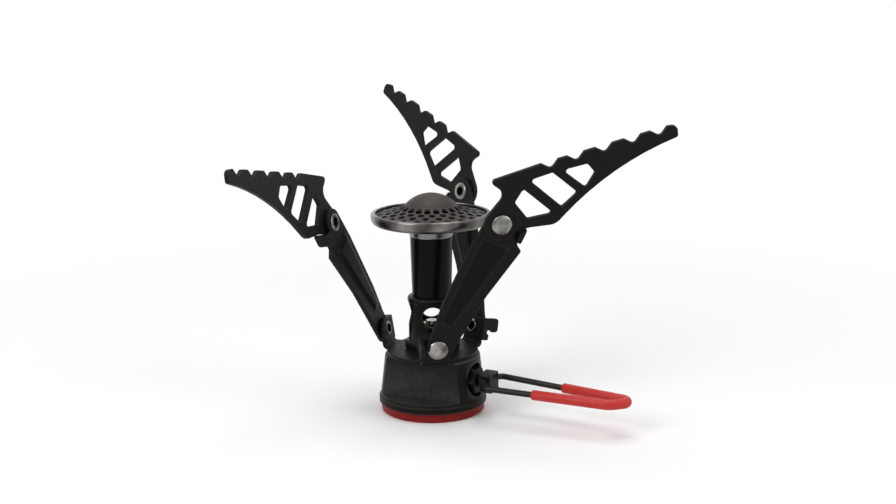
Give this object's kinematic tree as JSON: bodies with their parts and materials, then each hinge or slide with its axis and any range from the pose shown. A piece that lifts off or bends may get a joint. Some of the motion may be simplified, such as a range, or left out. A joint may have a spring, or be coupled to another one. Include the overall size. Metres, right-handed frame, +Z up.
{
  "type": "folding canister stove",
  "caption": "Screw-on gas canister stove: needle valve with a wire bail handle, mixing tube, perforated round burner head and riveted folding arms with toothed pot supports.",
  "frame": {"origin": "on the burner axis, in the plane of the base ring's underside and the inlet's mouth", "axes": "+Z up along the burner axis, +X along the valve stem towards the handle"},
  "size_m": [0.1274, 0.139, 0.1022],
  "materials": {
    "black_body": "satin black coating on a cast and turned body",
    "black_sheet": "satin black coating on pressed steel sheet",
    "black_tube": "semi-gloss black anodised",
    "black_fittings": "satin black",
    "bright_steel": "brushed, lightly heat-tinted at the rim",
    "dark_steel": "matte dark grey",
    "brass": "machined",
    "red_ring": "satin dark red",
    "red_sleeve": "satin red",
    "rubber": "matte black"
  },
  "bodies": {
    "stove": {"valve_body": "black_body", "base_ring": "red_ring", "canister_inlet": "brass", "canister_seal": "rubber", "depressor_pin": "brass", "gland_nut": "black_fittings", "stem_seal": "rubber", "support_ring": "black_sheet", "mixing_sleeve": "black_tube", "gas_jet": "brass", "burner_tube": "black_tube", "burner_collar": "bright_steel", "burner_pan": "bright_steel", "burner_cap": "dark_steel", "lower_rivets": "bright_steel"},
    "arm_1": {"arm_1": "black_sheet", "upper_rivet_1": "bright_steel"},
    "pot_support_1": {"pot_support_1": "black_sheet"},
    "arm_2": {"arm_2": "black_sheet", "upper_rivet_2": "bright_steel"},
    "pot_support_2": {"pot_support_2": "black_sheet"},
    "arm_3": {"arm_3": "black_sheet", "upper_rivet_3": "bright_steel"},
    "pot_support_3": {"pot_support_3": "black_sheet"},
    "valve_stem": {"valve_stem": "black_fittings", "stem_block": "black_fittings"},
    "handle": {"handle_wire": "dark_steel", "handle_sleeve": "red_sleeve"}
  },
  "joints": [
    {"name": "arm_1_fold", "type": "hinge", "parent": "stove", "child": "arm_1", "pos_m": [0.01066, -0.01614, 0.0254], "axis": [0.5932, -0.7872, -0.1685], "range_deg": [-6, 24]},
    {"name": "pot_support_1_fold", "type": "hinge", "parent": "arm_1", "child": "pot_support_1", "pos_m": [0.03019, -0.01043, 0.06754], "axis": [0.5932, -0.7872, -0.1685], "range_deg": [0, 196]},
    {"name": "arm_2_fold", "type": "hinge", "parent": "stove", "child": "arm_2", "pos_m": [0.00865, 0.0173, 0.0254], "axis": [0.3851, 0.9073, -0.1685], "range_deg": [-10, 20]},
    {"name": "pot_support_2_fold", "type": "hinge", "parent": "arm_2", "child": "pot_support_2", "pos_m": [-0.00319, 0.03037, 0.06875], "axis": [0.3851, 0.9073, -0.1685], "range_deg": [0, 196]},
    {"name": "arm_3_fold", "type": "hinge", "parent": "stove", "child": "arm_3", "pos_m": [-0.0193, -0.00116, 0.0254], "axis": [-0.9784, -0.1201, -0.1685], "range_deg": [-1, 29]},
    {"name": "pot_support_3_fold", "type": "hinge", "parent": "arm_3", "child": "pot_support_3", "pos_m": [-0.02338, -0.02452, 0.06575], "axis": [-0.9784, -0.1201, -0.1685], "range_deg": [0, 196]},
    {"name": "valve_turn", "type": "hinge", "parent": "stove", "child": "valve_stem", "pos_m": [0, 0, 0.0118], "axis": [1, 0, 0], "range_deg": [0, 720]},
    {"name": "handle_lift", "type": "hinge", "parent": "valve_stem", "child": "handle", "pos_m": [0.0213, 0, 0.0118], "axis": [0, -0.9994, -0.0349], "range_deg": [-8, 65]}
  ]
}
